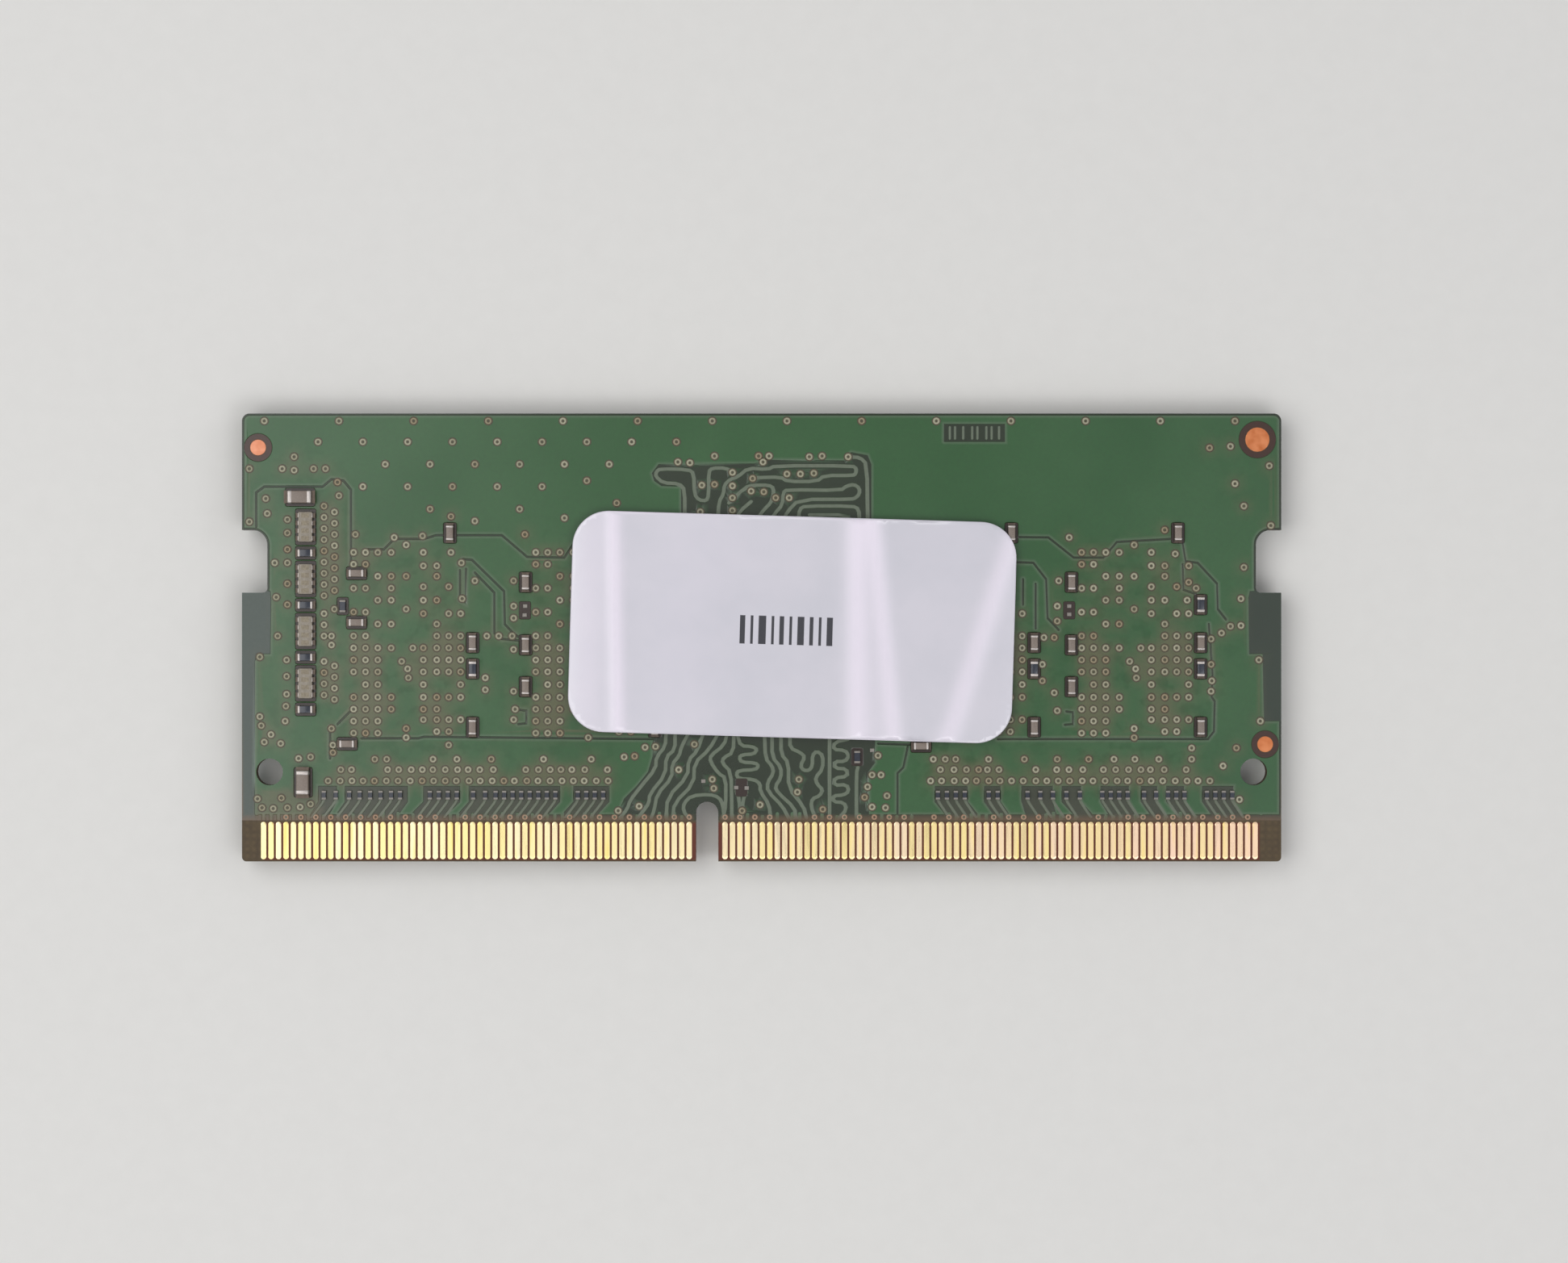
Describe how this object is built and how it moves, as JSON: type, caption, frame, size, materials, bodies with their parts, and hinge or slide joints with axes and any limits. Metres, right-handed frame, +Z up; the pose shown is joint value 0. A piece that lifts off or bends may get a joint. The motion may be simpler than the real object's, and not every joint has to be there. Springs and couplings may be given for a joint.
{
  "type": "memory module",
  "caption": "Small-outline memory module: a thin card with gold edge contacts, a key notch, latch notches, chip parts and a blank label on one side and memory packages on the other.",
  "frame": {"origin": "under the middle of the board, on the plane of the memory packages' outer faces", "axes": "+Z up through the board from the package side to the label side, +X along the contact row with the key notch at negative X, -Y out of the contact edge"},
  "size_m": [0.0696, 0.03, 0.0031],
  "materials": {
    "laminate": "routed woven-glass epoxy laminate",
    "solder_mask": "semi-gloss green cured coating",
    "gold_plating": "bright plated",
    "bare_copper": "bare, lightly dulled",
    "mould_compound": "fine matt moulded",
    "package_substrate": "sawn laminate edge",
    "solder": "reflowed, smooth",
    "capacitor_ceramic": "fired, satin, tinned ends",
    "resistor_film": "glossy dark overcoat, tinned ends",
    "array_ceramic": "fired, satin",
    "label_film": "glossy coated"
  },
  "bodies": {
    "root": {"alignment_dot_left": "bare_copper", "alignment_dot_lower": "bare_copper", "alignment_dot_right": "bare_copper", "array_capacitor_1": "capacitor_ceramic", "array_capacitor_2": "capacitor_ceramic", "array_capacitor_3": "capacitor_ceramic", "array_capacitor_4": "capacitor_ceramic", "board_core": "laminate", "bulk_capacitor_lower": "capacitor_ceramic", "bulk_capacitor_upper": "capacitor_ceramic", "clock_capacitor": "capacitor_ceramic", "config_memory": "mould_compound", "contacts_lower_left": "gold_plating", "contacts_lower_right": "gold_plating", "contacts_upper_left": "gold_plating", "contacts_upper_right": "gold_plating", "label_sheet": "label_film", "memory_1_resistor": "resistor_film", "memory_1_right_cap_1": "capacitor_ceramic", "memory_1_right_cap_2": "capacitor_ceramic", "memory_1_top_cap": "capacitor_ceramic", "memory_2_left_cap_1": "capacitor_ceramic", "memory_2_left_cap_2": "capacitor_ceramic", "memory_2_left_cap_3": "capacitor_ceramic", "memory_2_right_cap_2": "capacitor_ceramic", "memory_2_top_cap": "capacitor_ceramic", "memory_3_left_cap_2": "capacitor_ceramic", "memory_3_resistor": "resistor_film", "memory_3_right_cap_1": "capacitor_ceramic", "memory_3_right_cap_2": "capacitor_ceramic", "memory_3_top_cap": "capacitor_ceramic", "memory_4_left_cap_1": "capacitor_ceramic", "memory_4_left_cap_2": "capacitor_ceramic", "memory_4_left_cap_3": "capacitor_ceramic", "memory_4_resistor": "resistor_film", "memory_4_right_cap_1": "capacitor_ceramic", "memory_4_right_cap_2": "capacitor_ceramic", "memory_4_side_resistor": "resistor_film", "memory_4_top_cap": "capacitor_ceramic", "memory_balls_1": "solder", "memory_balls_2": "solder", "memory_balls_3": "solder", "memory_balls_4": "solder", "memory_mould_1": "mould_compound", "memory_mould_2": "mould_compound", "memory_mould_3": "mould_compound", "memory_mould_4": "mould_compound", "memory_substrate_1": "package_substrate", "memory_substrate_2": "package_substrate", "memory_substrate_3": "package_substrate", "memory_substrate_4": "package_substrate", "reference_capacitor": "capacitor_ceramic", "resistor_array_1": "array_ceramic", "resistor_array_2": "array_ceramic", "resistor_array_3": "array_ceramic", "resistor_array_4": "array_ceramic", "solder_mask_lower": "solder_mask", "solder_mask_upper": "solder_mask", "supply_capacitor_lower": "capacitor_ceramic", "supply_capacitor_upper": "capacitor_ceramic"}
  },
  "joints": []
}
